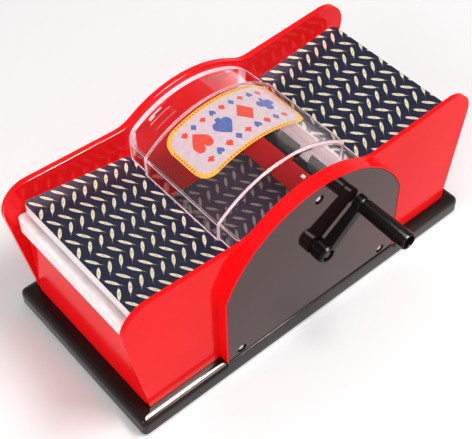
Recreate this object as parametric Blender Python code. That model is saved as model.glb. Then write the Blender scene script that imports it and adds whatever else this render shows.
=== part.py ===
"""Hand-cranked playing-card shuffler with two loading trays and a clear centre cover.

The design is drawn in millimetres about the middle of the base: X runs along the two trays,
-Y is the crank side and Z is up. Every piece hangs from one empty, which is placed so that the
world origin is the middle of the whole object's footprint, on the surface it stands on.
"""
import math

import bmesh
import bpy
from mathutils import Vector

MM = 0.001
GAP = 0.3                      # clearance between pieces that rest on or face each other
RUNNING = 0.1                  # radial clearance of a shaft in its bearing

# Playing cards, poker size
CARD_LONG = 88.9
CARD_SHORT = 63.5
CARD_CORNER = 3.2

# Base frame
BASE_LENGTH = 222.4
BASE_WIDTH = 108.8
BASE_BOTTOM = 1.0
BASE_TOP = 11.8
BASE_ROUND = 4.0
BASE_POCKET_LENGTH = 196.0
BASE_POCKET_WIDTH = 90.4
BASE_POCKET_FLOOR = 5.2
FOOT_RADIUS = 5.0
FOOT_TOP = 2.2
FOOT_X = 98.0
FOOT_Y = 46.0

# Side walls
WALL_OUTER = 48.5
REAR_WALL_OUTER = 49.3         # the far wall is a little thicker
WALL_INNER = 46.0
WALL_BOTTOM = BASE_TOP + GAP
WALL_FOOT_X = 102.4            # half length of a wall where it stands on the base
WALL_FLARE = 0.150             # how far each end leans out, per unit of height
RIM_Z = 88.6                   # height of the straight rim beside the dome
RIM_X = 50.0
RIM_SLOPE = 0.058
RIM_CORNER = 15.0
DOME_RADIUS = 62.2
DOME_Z = 38.5                  # height of the dome's centre
DOME_FILLET = 18.0

# Gear housing on the crank side
HOUSING_FRONT = 54.0
HOUSING_HALF = 58.2
HOUSING_SKIN = 0.8
PANEL_FRONT = 53.8
PANEL_BACK = 52.0
SCREW_SPOTS = ((-48.4, 15.8), (48.4, 15.8), (0.0, 91.5))

# Card trays
TRAY_HALF_WIDTH = WALL_INNER - GAP
TRAY_END_X = 102.9
TRAY_INNER_X = 39.0
TRAY_SKIN = 2.4
FLOOR_Z = 55.0                 # height of a tray's floor at its inner end
FLOOR_SLOPE = math.tan(math.radians(8.0))
FORK_HALF = 22.0
FORK_X = 58.0

# Card well between the trays
WELL_HALF = 38.6
WELL_SKIN = 1.6
WELL_FLOOR = 9.4
WELL_UNDERSIDE = 7.4
WELL_TOP = 44.0

# Clear cover
COVER_RADIUS = 59.2
COVER_BAND = 28.6              # half width of the raised middle band
COVER_STEP = 1.3
COVER_SKIN = 1.7
COVER_HALF_LENGTH = 40.0
COVER_HALF_WIDTH = 45.6
COVER_CORNER = 6.0
COVER_RIM = 71.2

LEDGE_DEPTH = 2.6
LEDGE_SKIN = 2.0
LEDGE_HALF_ANGLE = 8.0         # degrees

# Crank
CRANK_Z = 57.8
SHAFT_RADIUS = 2.5
HUB_RADIUS = 5.4
HUB_BACK = 55.2
HUB_FRONT = 62.2
ARM_LENGTH = 29.4
ARM_ANGLE = math.radians(35.0)
ARM_BACK = 55.9
ARM_HALF_WIDTH = 2.1             # at the front; the back is a little wider
ARM_BACK_HALF_WIDTH = 2.6
ARM_TIP_RADIUS = 4.4
ARM_TIP_FRONT = 60.4
KNOB_END = 90.4
KNOB_ROOT_RADIUS = 4.1
KNOB_END_RADIUS = 4.8
KNOB_X = ARM_LENGTH * math.cos(ARM_ANGLE)
KNOB_Z = CRANK_Z + ARM_LENGTH * math.sin(ARM_ANGLE)

# Gear train, all spur gears of one module in one plane
MODULE = 1.0
GEAR_FRONT = 51.6
GEAR_BACK = 48.9
DRIVE_TEETH = 30
LEFT_IDLER_TEETH = 26
RIGHT_IDLER_TEETH = 16
FEED_TEETH = 16
STUD_RADIUS = 1.5

# Feed rollers
FEED_X = 47.5
FEED_Z = 47.6
FEED_SHAFT_RADIUS = 2.0
ROLLER_RADIUS = 8.0
ROLLER_CORE = 5.2
BUSH_RADIUS = 4.0

ORIGIN_Y = (KNOB_END - BASE_WIDTH / 2) / 2     # from the footprint's middle to the base's middle

SEGMENTS = 24
ARC_STEP = math.radians(8.0)
DECK_INNER_TOP = {-1: 69.5, 1: 70.4}           # height of each deck's top card at its inner edge
SEAM_RISE = 0.2
LEFT_DECK_Y = 1.2


# ---------------------------------------------------------------- scene and materials

def clear_scene():
    for item in list(bpy.data.objects):
        bpy.data.objects.remove(item, do_unlink=True)


def make_material(name, color, roughness, metallic=0.0, alpha=1.0):
    material = bpy.data.materials.new(name)
    material.use_nodes = True
    shader = material.node_tree.nodes["Principled BSDF"]
    shader.inputs["Base Color"].default_value = (*color, 1.0)
    shader.inputs["Roughness"].default_value = roughness
    shader.inputs["Metallic"].default_value = metallic
    shader.inputs["Alpha"].default_value = alpha
    material.diffuse_color = (*color, alpha)
    return material


clear_scene()
frame_origin = bpy.data.objects.new("frame_origin", None)
frame_origin.location = (0.0, ORIGIN_Y * MM, 0.0)
bpy.context.scene.collection.objects.link(frame_origin)


# ---------------------------------------------------------------- building blocks

def add_piece(name, bm, color, roughness, metallic=0.0, alpha=1.0, pivot=(0.0, 0.0, 0.0)):
    """Turn a mesh drawn in millimetres into a named object whose origin is at pivot."""
    bmesh.ops.remove_doubles(bm, verts=bm.verts, dist=1e-4)
    bmesh.ops.recalc_face_normals(bm, faces=bm.faces)
    for vert in bm.verts:
        vert.co = (vert.co - Vector(pivot)) * MM
    mesh = bpy.data.meshes.new(name)
    bm.to_mesh(mesh)
    bm.free()
    mesh.shade_smooth()
    mesh.set_sharp_from_angle(angle=math.radians(35.0))
    mesh.materials.append(make_material(name, color, roughness, metallic, alpha))
    piece = bpy.data.objects.new(name, mesh)
    piece.parent = frame_origin
    piece.location = Vector(pivot) * MM
    bpy.context.scene.collection.objects.link(piece)
    return piece


def combine(piece, operation, name, bm):
    """Join or cut a piece with a helper solid drawn in the same millimetres."""
    helper = add_piece(name, bm, (0.5, 0.5, 0.5), 0.5)
    helper.hide_render = True
    helper.display_type = "WIRE"
    modifier = piece.modifiers.new(name, "BOOLEAN")
    modifier.operation = operation
    modifier.solver = "EXACT"
    modifier.object = helper


def prism(outline, y_low, y_high, bm=None):
    """Extrude an outline of (x, z) points along Y."""
    bm = bm or bmesh.new()
    verts = [bm.verts.new((x, y_low, z)) for x, z in outline]
    face = bm.faces.new(verts)
    grown = bmesh.ops.extrude_face_region(bm, geom=[face])["geom"]
    moved = [item for item in grown if isinstance(item, bmesh.types.BMVert)]
    bmesh.ops.translate(bm, verts=moved, vec=(0.0, y_high - y_low, 0.0))
    return bm


def block(x_range, y_range, z_range, bm=None):
    outline = [(x_range[0], z_range[0]), (x_range[1], z_range[0]), (x_range[1], z_range[1]), (x_range[0], z_range[1])]
    return prism(outline, y_range[0], y_range[1], bm)


def turned(profile, x, z, bm=None, segments=SEGMENTS):
    """Turn a profile of (radius, y) points about the Y axis through (x, z).

    A profile that starts and ends at radius 0 makes a solid piece; any other is a closed ring.
    """
    bm = bm or bmesh.new()
    rings = []
    for radius, y in profile:
        if radius == 0.0:
            rings.append([bm.verts.new((x, y, z))])
            continue
        angles = [2 * math.pi * step / segments for step in range(segments)]
        rings.append([bm.verts.new((x + radius * math.cos(a), y, z + radius * math.sin(a))) for a in angles])
    solid = profile[0][0] == 0.0
    pairs = list(zip(rings, rings[1:]))
    if not solid:
        pairs.append((rings[-1], rings[0]))
    for first, second in pairs:
        for step in range(segments):
            after = (step + 1) % segments
            if len(first) == 1:
                bm.faces.new((first[0], second[step], second[after]))
            elif len(second) == 1:
                bm.faces.new((first[step], first[after], second[0]))
            else:
                bm.faces.new((first[step], first[after], second[after], second[step]))
    return bm


def rod(radius, y_low, y_high, x, z, bm=None):
    return turned([(0.0, y_low), (radius, y_low), (radius, y_high), (0.0, y_high)], x, z, bm)


def tube(inner, outer, y_low, y_high, x, z, bm=None):
    return turned([(inner, y_low), (outer, y_low), (outer, y_high), (inner, y_high)], x, z, bm)


def arc(centre_x, centre_z, radius, start, end, steps=None):
    """Points on an arc, both ends included."""
    steps = steps or max(2, math.ceil(abs(end - start) / ARC_STEP))
    angles = [start + (end - start) * step / steps for step in range(steps + 1)]
    return [(centre_x + radius * math.cos(a), centre_z + radius * math.sin(a)) for a in angles]


def rounded_corner(before, corner, after, radius, steps=None):
    """Arc points that round the corner of a polyline."""
    corner = Vector(corner)
    towards = (Vector(before) - corner).normalized()
    away = (Vector(after) - corner).normalized()
    half = towards.angle(away) / 2
    centre = corner + (towards + away).normalized() * radius / math.sin(half)
    first = corner + towards * radius / math.tan(half) - centre
    last = corner + away * radius / math.tan(half) - centre
    start = math.atan2(first.y, first.x)
    turn = (math.atan2(last.y, last.x) - start + math.pi) % (2 * math.pi) - math.pi
    return arc(centre.x, centre.y, radius, start, start + turn, steps)


def mirrored(points):
    """The same points on the other side of X = 0, in the opposite order."""
    return [(-x, z) for x, z in reversed(points)]


# ---------------------------------------------------------------- outlines

def rim_fillet():
    """Centre of the hollow fillet beside the dome, and the directions of its two ends."""
    along = Vector((1.0, RIM_SLOPE)).normalized()
    normal = Vector((-along.y, along.x))
    start = Vector((RIM_X, RIM_Z)) + normal * DOME_FILLET - Vector((0.0, DOME_Z))
    reach = DOME_RADIUS + DOME_FILLET
    slide = -start.dot(along) + math.sqrt(start.dot(along) ** 2 - start.length_squared + reach ** 2)
    centre = start + along * slide + Vector((0.0, DOME_Z))
    return centre, math.atan2(centre.y - DOME_Z, centre.x), math.atan2(-normal.y, -normal.x)


def wall_outline():
    """Side wall: flared ends, gently rising rims and the dome, joined by hollow fillets."""
    fillet, dome_angle, rim_angle = rim_fillet()
    end_x = WALL_FOOT_X + WALL_FLARE * (RIM_Z - WALL_BOTTOM)
    corner = (end_x, RIM_Z + RIM_SLOPE * (end_x - RIM_X))
    right = arc(0.0, DOME_Z, DOME_RADIUS, math.pi / 2, dome_angle)
    right += arc(fillet.x, fillet.y, DOME_FILLET, dome_angle - math.pi, rim_angle)[1:]
    right += rounded_corner((RIM_X, RIM_Z), corner, (WALL_FOOT_X, WALL_BOTTOM), RIM_CORNER)
    right.append((WALL_FOOT_X, WALL_BOTTOM))
    return mirrored(right)[:-1] + right


def arch_outline(inset, bottom):
    """Gear housing outline: the dome's circle cut off by two upright sides."""
    half = HOUSING_HALF - inset
    radius = DOME_RADIUS - inset
    _, dome_angle, _ = rim_fillet()
    right = arc(0.0, DOME_Z, radius, math.pi / 2, dome_angle)
    right += arc(0.0, DOME_Z, radius, dome_angle, math.acos(half / radius))[1:]
    right.append((half, bottom))
    return mirrored(right)[:-1] + right


def gear_outline(teeth, phase, x, z):
    """Spur gear outline with straight-flanked teeth; phase is the angle of one tooth."""
    pitch_radius = MODULE * teeth / 2
    pitch = 2 * math.pi / teeth
    root = pitch_radius - 1.15 * MODULE
    tip = pitch_radius + 0.85 * MODULE
    points = []
    for tooth in range(teeth):
        middle = phase + tooth * pitch
        for radius, offset in ((root, -0.27), (tip, -0.12), (tip, 0.12), (root, 0.27)):
            angle = middle + offset * pitch
            points.append((x + radius * math.cos(angle), z + radius * math.sin(angle)))
    return points


# ---------------------------------------------------------------- gear positions

class Gear:
    """A gear's place, tooth count and the angle of its first tooth."""

    def __init__(self, x, z, teeth, phase):
        self.x = x
        self.z = z
        self.teeth = teeth
        self.phase = phase

    def spacing(self, teeth):
        return MODULE * (self.teeth + teeth) / 2


def meshed(driver, x, z, teeth):
    """A gear at (x, z) whose tooth gap faces the driver's tooth."""
    line = math.atan2(z - driver.z, x - driver.x)
    driver_turn = (line - driver.phase) * driver.teeth / (2 * math.pi)
    phase = line + math.pi - (0.5 - driver_turn) * 2 * math.pi / teeth
    return Gear(x, z, teeth, phase)


def between(first, last_x, last_z, last_teeth, teeth, side):
    """Place of an idler that meshes with a gear and with a further gear."""
    near = first.spacing(teeth)
    far = MODULE * (last_teeth + teeth) / 2
    span = math.hypot(last_x - first.x, last_z - first.z)
    along = (near ** 2 - far ** 2 + span ** 2) / (2 * span)
    aside = math.sqrt(near ** 2 - along ** 2) * side
    unit_x = (last_x - first.x) / span
    unit_z = (last_z - first.z) / span
    return first.x + unit_x * along - unit_z * aside, first.z + unit_z * along + unit_x * aside


drive = Gear(0.0, CRANK_Z, DRIVE_TEETH, 0.0)
left_idler = meshed(drive, *between(drive, -FEED_X, FEED_Z, FEED_TEETH, LEFT_IDLER_TEETH, 1.0), LEFT_IDLER_TEETH)
left_feed = meshed(left_idler, -FEED_X, FEED_Z, FEED_TEETH)
INNER_IDLER_ANGLE = math.radians(-40.0)
inner_reach = drive.spacing(RIGHT_IDLER_TEETH)
inner_x = inner_reach * math.cos(INNER_IDLER_ANGLE)
inner_z = CRANK_Z + inner_reach * math.sin(INNER_IDLER_ANGLE)
inner_idler = meshed(drive, inner_x, inner_z, RIGHT_IDLER_TEETH)
outer_place = between(inner_idler, FEED_X, FEED_Z, FEED_TEETH, RIGHT_IDLER_TEETH, -1.0)
outer_idler = meshed(inner_idler, *outer_place, RIGHT_IDLER_TEETH)
right_feed = meshed(outer_idler, FEED_X, FEED_Z, FEED_TEETH)
idlers = (("left_idler_gear", left_idler), ("right_idler_gear_inner", inner_idler), ("right_idler_gear_outer", outer_idler))


# ---------------------------------------------------------------- colours (linear)

RED = (0.80, 0.012, 0.014)
BLACK = (0.018, 0.016, 0.015)
PANEL_GREY = (0.045, 0.038, 0.037)
STEEL = (0.62, 0.62, 0.64)
BRASS = (0.72, 0.52, 0.22)
NYLON = (0.85, 0.84, 0.80)
RUBBER = (0.05, 0.05, 0.05)
NAVY = (0.012, 0.016, 0.045)
CLEAR = (0.95, 0.92, 0.93)


# ---------------------------------------------------------------- base and feet


def make_base():
    half_x = BASE_LENGTH / 2
    half_y = BASE_WIDTH / 2
    bm = block((-half_x, half_x), (-half_y, half_y), (BASE_BOTTOM, BASE_TOP))
    top_edges = [edge for edge in bm.edges if all(abs(vert.co.z - BASE_TOP) < 1e-6 for vert in edge.verts)]
    bmesh.ops.bevel(bm, geom=top_edges, offset=BASE_ROUND, segments=5, profile=0.5, affect="EDGES")
    base = add_piece("base_frame", bm, BLACK, 0.22)
    pad = block((-HOUSING_HALF, HOUSING_HALF), (-half_y, -WALL_INNER), (BASE_TOP / 2, BASE_TOP))
    combine(base, "UNION", "base_pad", pad)
    pocket_x = BASE_POCKET_LENGTH / 2
    pocket_y = BASE_POCKET_WIDTH / 2
    pocket = block((-pocket_x, pocket_x), (-pocket_y, pocket_y), (BASE_POCKET_FLOOR, BASE_TOP + 2))
    combine(base, "DIFFERENCE", "base_pocket", pocket)
    recesses = bmesh.new()
    for x in (-FOOT_X, FOOT_X):
        for y in (-FOOT_Y, FOOT_Y):
            upright_rod(recesses, FOOT_RADIUS + GAP, BASE_BOTTOM - 1, FOOT_TOP + GAP, x, y)
    combine(base, "DIFFERENCE", "foot_recesses", recesses)


def upright_rod(bm, radius, z_low, z_high, x, y):
    """Add an upright cylinder to a mesh."""
    angles = [2 * math.pi * step / SEGMENTS for step in range(SEGMENTS)]
    ring = [bm.verts.new((x + radius * math.cos(a), y + radius * math.sin(a), z_low)) for a in angles]
    face = bm.faces.new(ring)
    grown = bmesh.ops.extrude_face_region(bm, geom=[face])["geom"]
    moved = [item for item in grown if isinstance(item, bmesh.types.BMVert)]
    bmesh.ops.translate(bm, verts=moved, vec=(0.0, 0.0, z_high - z_low))


def make_feet():
    for x, end in ((-FOOT_X, "left"), (FOOT_X, "right")):
        for y, edge in ((-FOOT_Y, "front"), (FOOT_Y, "rear")):
            bm = bmesh.new()
            upright_rod(bm, FOOT_RADIUS, 0.0, FOOT_TOP, x, y)
            add_piece(f"rubber_foot_{edge}_{end}", bm, RUBBER, 0.8)


# ---------------------------------------------------------------- walls

def add_cover_ledges(wall, side):
    """Short ledges inside a wall that the clear cover's edge rests on."""
    y_range = sorted((side * (WALL_INNER + 0.5), side * (WALL_INNER - LEDGE_DEPTH)))
    ledges = bmesh.new()
    top = COVER_RADIUS - COVER_SKIN - GAP
    for middle in (68.0, 112.0):
        start = math.radians(middle - LEDGE_HALF_ANGLE)
        end = math.radians(middle + LEDGE_HALF_ANGLE)
        outline = arc(0.0, DOME_Z, top, start, end) + arc(0.0, DOME_Z, top - LEDGE_SKIN, end, start)
        prism(outline, y_range[0], y_range[1], ledges)
    combine(wall, "UNION", wall.name + "_ledges", ledges)


def make_rear_wall():
    wall = add_piece("rear_wall", prism(wall_outline(), WALL_INNER, REAR_WALL_OUTER), RED, 0.12)
    add_cover_ledges(wall, 1)
    bosses = bmesh.new()
    for x in (-FEED_X, FEED_X):
        rod(BUSH_RADIUS + 1.7, 41.5, WALL_INNER + 1.0, x, FEED_Z, bosses)
    combine(wall, "UNION", "rear_bosses", bosses)
    pockets = bmesh.new()
    for x in (-FEED_X, FEED_X):
        rod(BUSH_RADIUS + GAP, 40.0, WALL_INNER, x, FEED_Z, pockets)
    combine(wall, "DIFFERENCE", "rear_bush_pockets", pockets)


def make_front_wall():
    wall = add_piece("front_wall", prism(wall_outline(), -WALL_OUTER, -WALL_INNER), RED, 0.12)
    add_cover_ledges(wall, -1)
    inner = arch_outline(HOUSING_SKIN, WALL_BOTTOM - 1.0)
    housing = prism(arch_outline(0.0, WALL_BOTTOM), -HOUSING_FRONT, -WALL_OUTER + 1.0)
    combine(wall, "UNION", "housing_rim", housing)
    combine(wall, "DIFFERENCE", "housing_room", prism(inner, -HOUSING_FRONT - 1, -WALL_OUTER + 0.05))
    bosses = bmesh.new()
    for x, z in SCREW_SPOTS:
        rod(3.3, -50.3, -WALL_OUTER + 0.5, x, z, bosses)
    combine(wall, "UNION", "panel_bosses", bosses)
    holes = bmesh.new()
    for x, z in SCREW_SPOTS:
        rod(1.6, -52.0, -WALL_INNER - 0.8, x, z, holes)
    for x, z in ((0.0, CRANK_Z), (-FEED_X, FEED_Z), (FEED_X, FEED_Z)):
        rod(BUSH_RADIUS + GAP, -50.0, -44.0, x, z, holes)
    for _, gear in idlers:
        rod(STUD_RADIUS + GAP, -50.0, -WALL_INNER - 0.6, gear.x, gear.z, holes)
    combine(wall, "DIFFERENCE", "front_wall_holes", holes)


# ---------------------------------------------------------------- trays, well and cards

def floor_z(x):
    """Height of a tray floor's upper face at a distance x from the middle."""
    return FLOOR_Z + FLOOR_SLOPE * (abs(x) - TRAY_INNER_X)


def make_tray(name, side):
    end = TRAY_END_X
    inside = TRAY_END_X - TRAY_SKIN
    outline = [
        (side * end, WALL_BOTTOM),
        (side * end, floor_z(end)),
        (side * TRAY_INNER_X, floor_z(TRAY_INNER_X)),
        (side * TRAY_INNER_X, floor_z(TRAY_INNER_X) - TRAY_SKIN),
        (side * inside, floor_z(inside) - TRAY_SKIN),
        (side * inside, WALL_BOTTOM),
    ]
    tray = add_piece(name, prism(outline, -TRAY_HALF_WIDTH, TRAY_HALF_WIDTH), RED, 0.12)
    low = min(side * FORK_X, side * (TRAY_INNER_X - 2))
    high = max(side * FORK_X, side * (TRAY_INNER_X - 2))
    fork = block((low, high), (-FORK_HALF, FORK_HALF), (FLOOR_Z - 6, FLOOR_Z + 6))
    combine(tray, "DIFFERENCE", name + "_fork", fork)


def make_well():
    inside = WELL_HALF - WELL_SKIN
    outline = [
        (-WELL_HALF, WELL_UNDERSIDE),
        (WELL_HALF, WELL_UNDERSIDE),
        (WELL_HALF, WELL_TOP),
        (inside, WELL_TOP),
        (inside, WELL_FLOOR),
        (-inside, WELL_FLOOR),
        (-inside, WELL_TOP),
        (-WELL_HALF, WELL_TOP),
    ]
    half_width = BASE_POCKET_WIDTH / 2 - GAP
    add_piece("card_well", prism(outline, -half_width, half_width), RED, 0.14)


def card_ring(bm, outer, inner, length_y, middle_y):
    """One rounded card outline whose short side runs from the outer to the inner (x, z) point."""
    outer = Vector(outer)
    inner = Vector(inner)
    middle = (outer + inner) / 2
    along = (inner - outer).normalized()
    half_s = CARD_SHORT / 2 - CARD_CORNER
    half_l = length_y / 2 - CARD_CORNER
    verts = []
    for sign_s, sign_l, start in ((1, 1, 0.0), (-1, 1, 90.0), (-1, -1, 180.0), (1, -1, 270.0)):
        for step in range(5):
            angle = math.radians(start + step * 22.5)
            s = sign_s * half_s + CARD_CORNER * math.cos(angle)
            y = middle_y + sign_l * half_l + CARD_CORNER * math.sin(angle)
            point = middle + along * s
            verts.append(bm.verts.new((point.x, y, point.y)))
    return verts


def card_stack(levels, middle_y=0.0):
    """A closed stack of cards lofted through (outer, inner) edge points from bottom to top."""
    bm = bmesh.new()
    rings = [card_ring(bm, outer, inner, CARD_LONG, middle_y) for outer, inner in levels]
    bm.faces.new(rings[0])
    bm.faces.new(rings[-1])
    count = len(rings[0])
    for lower, upper in zip(rings, rings[1:]):
        for step in range(count):
            after = (step + 1) % count
            bm.faces.new((lower[step], lower[after], upper[after], upper[step]))
    return bm


def deck_levels(side, outer_top, outer_bottom, top_rise, upper_part):
    """Edge points of a deck lying on a tray floor as two squared packets, one upon the other.

    outer_top and outer_bottom are the distances of the upper and lower packet from the middle,
    top_rise the outer top height and upper_part the share of the stack in the upper packet.
    """
    floor_angle = math.atan(FLOOR_SLOPE)
    inner_bottom = outer_bottom - CARD_SHORT * math.cos(floor_angle)
    inner_top = outer_top - math.sqrt(CARD_SHORT ** 2 - (top_rise - DECK_INNER_TOP[side]) ** 2)
    low = (floor_z(outer_bottom) + GAP, floor_z(inner_bottom) + GAP)
    high = (top_rise, DECK_INNER_TOP[side])
    seam = [bottom + (top - bottom) * (1 - upper_part) for bottom, top in zip(low, high)]
    levels = [
        ((outer_bottom, low[0]), (inner_bottom, low[1])),
        ((outer_bottom, seam[0]), (inner_bottom, seam[1])),
        ((outer_top, seam[0] + SEAM_RISE), (inner_top, seam[1] + SEAM_RISE)),
        ((outer_top, high[0]), (inner_top, high[1])),
    ]
    return [tuple((side * x, z) for x, z in level) for level in levels]


def make_decks():
    left = card_stack(deck_levels(-1, 101.0, 106.3, 80.6, 0.46), LEFT_DECK_Y)
    add_piece("card_deck_left", left, NAVY, 0.35, pivot=(-72.0, 0.0, 68.0))
    right = card_stack(deck_levels(1, 103.4, 104.6, 77.6, 0.40))
    add_piece("card_deck_right", right, NAVY, 0.35, pivot=(72.0, 0.0, 68.0))


# ---------------------------------------------------------------- clear cover

def cover_profile(lift, half_length):
    """Outer line of the cover at one Y: up one end wall, over the arch and down the other."""
    radius = COVER_RADIUS + lift
    half = half_length + lift
    shoulder_z = DOME_Z + math.sqrt(radius ** 2 - half ** 2)
    slope = Vector((-(shoulder_z - DOME_Z), half)).normalized()
    uphill = (half + slope.x * 10.0, shoulder_z + slope.y * 10.0)
    corner = rounded_corner((half, COVER_RIM), (half, shoulder_z), uphill, 2.4, 3)
    last = corner[-1]
    start = math.atan2(last[1] - DOME_Z, last[0])
    right = [(half, COVER_RIM), (half, (COVER_RIM + corner[0][1]) / 2)] + corner
    steps = 8
    crown = [start + (math.pi / 2 - start) * step / steps for step in range(1, steps + 1)]
    right += [(radius * math.cos(a), DOME_Z + radius * math.sin(a)) for a in crown]
    return right + mirrored(right[:-1])


def make_cover():
    bm = bmesh.new()
    half_side = []
    for step in range(4):
        angle = math.radians(90.0 - step * 30.0)
        y = COVER_HALF_WIDTH - COVER_CORNER * (1 - math.sin(angle))
        half_side.append((y, 0.0, COVER_HALF_LENGTH - COVER_CORNER * (1 - math.cos(angle))))
    half_side += [(COVER_BAND + 0.8, 0.0, COVER_HALF_LENGTH), (COVER_BAND, COVER_STEP / 2, COVER_HALF_LENGTH)]
    half_side += [(COVER_BAND - 0.8, COVER_STEP, COVER_HALF_LENGTH)]
    stations = half_side + [(-y, lift, half) for y, lift, half in reversed(half_side)]
    rows = []
    for y, lift, half in stations:
        rows.append([bm.verts.new((x, y, z)) for x, z in cover_profile(lift, half)])
    for first, second in zip(rows, rows[1:]):
        for step in range(len(first) - 1):
            bm.faces.new((first[step], first[step + 1], second[step + 1], second[step]))
    cover = add_piece("clear_cover", bm, CLEAR, 0.04, alpha=0.35, pivot=(0.0, 0.0, COVER_RIM))
    shell = cover.modifiers.new("shell", "SOLIDIFY")
    shell.thickness = COVER_SKIN * MM
    shell.offset = -1.0
    shell.use_even_offset = True


# ---------------------------------------------------------------- gear cover and its screws

def make_gear_cover():
    outline = arch_outline(HOUSING_SKIN + GAP, WALL_BOTTOM)
    panel = add_piece("gear_cover", prism(outline, -PANEL_FRONT, -PANEL_BACK), PANEL_GREY, 0.25)
    cups = bmesh.new()
    for x, z in SCREW_SPOTS:
        rod(3.6, -PANEL_BACK - 0.5, -50.6, x, z, cups)
    combine(panel, "UNION", "gear_cover_cups", cups)
    holes = bmesh.new()
    for x, z in SCREW_SPOTS:
        profile = [(0.0, -56.0), (2.7, -56.0), (2.7, -51.7), (1.6, -51.7), (1.6, -50.0), (0.0, -50.0)]
        turned(profile, x, z, holes)
    rod(SHAFT_RADIUS + 0.5, -56.0, -50.0, 0.0, CRANK_Z, holes)
    combine(panel, "DIFFERENCE", "gear_cover_holes", holes)


def make_gear_cover_screws():
    profile = [(0.0, -53.1), (1.2, -53.1), (2.2, -52.7), (2.35, -52.1), (1.3, -52.0), (1.3, -47.4), (0.0, -47.4)]
    for place, (x, z) in zip(("left", "right", "top"), SCREW_SPOTS):
        screw = turned(profile, x, z, segments=20)
        add_piece("gear_cover_screw_" + place, screw, STEEL, 0.25, 1.0)


# ---------------------------------------------------------------- crank

CRANK_PIVOT = (0.0, -ARM_BACK, CRANK_Z)
KNOB_PIVOT = (KNOB_X, -ARM_TIP_FRONT, KNOB_Z)


def make_crank_shaft():
    profile = [
        (0.0, -52.9),
        (1.6, -52.9),
        (1.6, -58.6),
        (SHAFT_RADIUS, -58.6),
        (SHAFT_RADIUS, -45.2),
        (0.0, -45.2),
    ]
    shaft = turned(profile, 0.0, CRANK_Z)
    add_piece("crank_shaft", shaft, STEEL, 0.3, 1.0, pivot=CRANK_PIVOT)


def tapered_bar(bm, back_half, front_half, back, start_front, end_front, length):
    """A bar along +X with its back flat and its front sloping from one end to the other."""
    corners = []
    for x, front in ((0.0, start_front), (length, end_front)):
        back_pair = [(x, -back, -back_half), (x, -back, back_half)]
        corners.append(back_pair + [(x, -front, front_half), (x, -front, -front_half)])
    near = [bm.verts.new(point) for point in corners[0]]
    far = [bm.verts.new(point) for point in corners[1]]
    bm.faces.new(near)
    bm.faces.new(far)
    for step in range(4):
        after = (step + 1) % 4
        bm.faces.new((near[step], near[after], far[after], far[step]))


def make_crank_arm():
    hub_profile = [
        (0.0, -HUB_BACK),
        (HUB_RADIUS, -HUB_BACK),
        (HUB_RADIUS, -HUB_FRONT + 1.0),
        (HUB_RADIUS - 1.0, -HUB_FRONT),
        (0.0, -HUB_FRONT),
    ]
    arm = add_piece("crank_arm", turned(hub_profile, 0.0, CRANK_Z), BLACK, 0.3, pivot=CRANK_PIVOT)
    bar = bmesh.new()
    tapered_bar(bar, ARM_BACK_HALF_WIDTH, ARM_HALF_WIDTH, ARM_BACK, HUB_FRONT - 0.2, ARM_TIP_FRONT - 0.1, ARM_LENGTH)
    turn_bar(bar)
    combine(arm, "UNION", "crank_bar", bar)
    tip_profile = [
        (0.0, -ARM_BACK),
        (ARM_TIP_RADIUS, -ARM_BACK),
        (ARM_TIP_RADIUS, -ARM_TIP_FRONT + 0.7),
        (ARM_TIP_RADIUS - 0.7, -ARM_TIP_FRONT),
        (0.0, -ARM_TIP_FRONT),
    ]
    combine(arm, "UNION", "crank_tip", turned(tip_profile, KNOB_X, KNOB_Z))
    bores = bmesh.new()
    hub_bore = [
        (0.0, -50.0),
        (SHAFT_RADIUS + GAP, -50.0),
        (SHAFT_RADIUS + GAP, -58.9),
        (1.6, -58.9),
        (1.6, -59.9),
        (3.4, -59.9),
        (3.4, -66.0),
        (0.0, -66.0),
    ]
    turned(hub_bore, 0.0, CRANK_Z, bores)
    rod(STUD_RADIUS + GAP, -ARM_BACK - 1.2, -66.0, KNOB_X, KNOB_Z, bores)
    combine(arm, "DIFFERENCE", "crank_bores", bores)


def turn_bar(bm):
    """Swing the bar to the crank's resting angle and carry it to the crank's axis."""
    for vert in bm.verts:
        x = vert.co.x * math.cos(ARM_ANGLE) - vert.co.z * math.sin(ARM_ANGLE)
        z = vert.co.x * math.sin(ARM_ANGLE) + vert.co.z * math.cos(ARM_ANGLE)
        vert.co = (x, vert.co.y, z + CRANK_Z)


def make_crank_screw():
    profile = [(0.0, -61.6), (1.8, -61.5), (2.8, -60.9), (2.9, -60.2), (1.3, -60.2), (1.3, -53.4), (0.0, -53.4)]
    add_piece("crank_screw", turned(profile, 0.0, CRANK_Z, segments=24), STEEL, 0.25, 1.0, pivot=CRANK_PIVOT)


def make_knob():
    front = -ARM_TIP_FRONT - GAP
    profile = [
        (STUD_RADIUS + RUNNING, front),
        (KNOB_ROOT_RADIUS - 0.5, front),
        (KNOB_ROOT_RADIUS, front - 0.5),
        (KNOB_END_RADIUS - 0.1, -KNOB_END + 1.0),
        (KNOB_END_RADIUS - 0.4, -KNOB_END + 0.2),
        (KNOB_END_RADIUS - 0.8, -KNOB_END),
        (KNOB_END_RADIUS - 1.3, -KNOB_END + 0.4),
        (KNOB_END_RADIUS - 1.6, -KNOB_END + 8.0),
        (STUD_RADIUS + RUNNING, -KNOB_END + 8.0),
    ]
    add_piece("crank_knob", turned(profile, KNOB_X, KNOB_Z, segments=32), BLACK, 0.3, pivot=KNOB_PIVOT)
    head_seat = -KNOB_END + 8.0 - GAP
    pin = [
        (0.0, head_seat - 1.6),
        (1.6, head_seat - 1.5),
        (2.6, head_seat - 0.9),
        (2.7, head_seat),
        (STUD_RADIUS, head_seat),
        (STUD_RADIUS, -ARM_BACK - 1.6),
        (0.0, -ARM_BACK - 1.6),
    ]
    add_piece("knob_pin", turned(pin, KNOB_X, KNOB_Z, segments=SEGMENTS), STEEL, 0.25, 1.0, pivot=KNOB_PIVOT)


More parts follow.
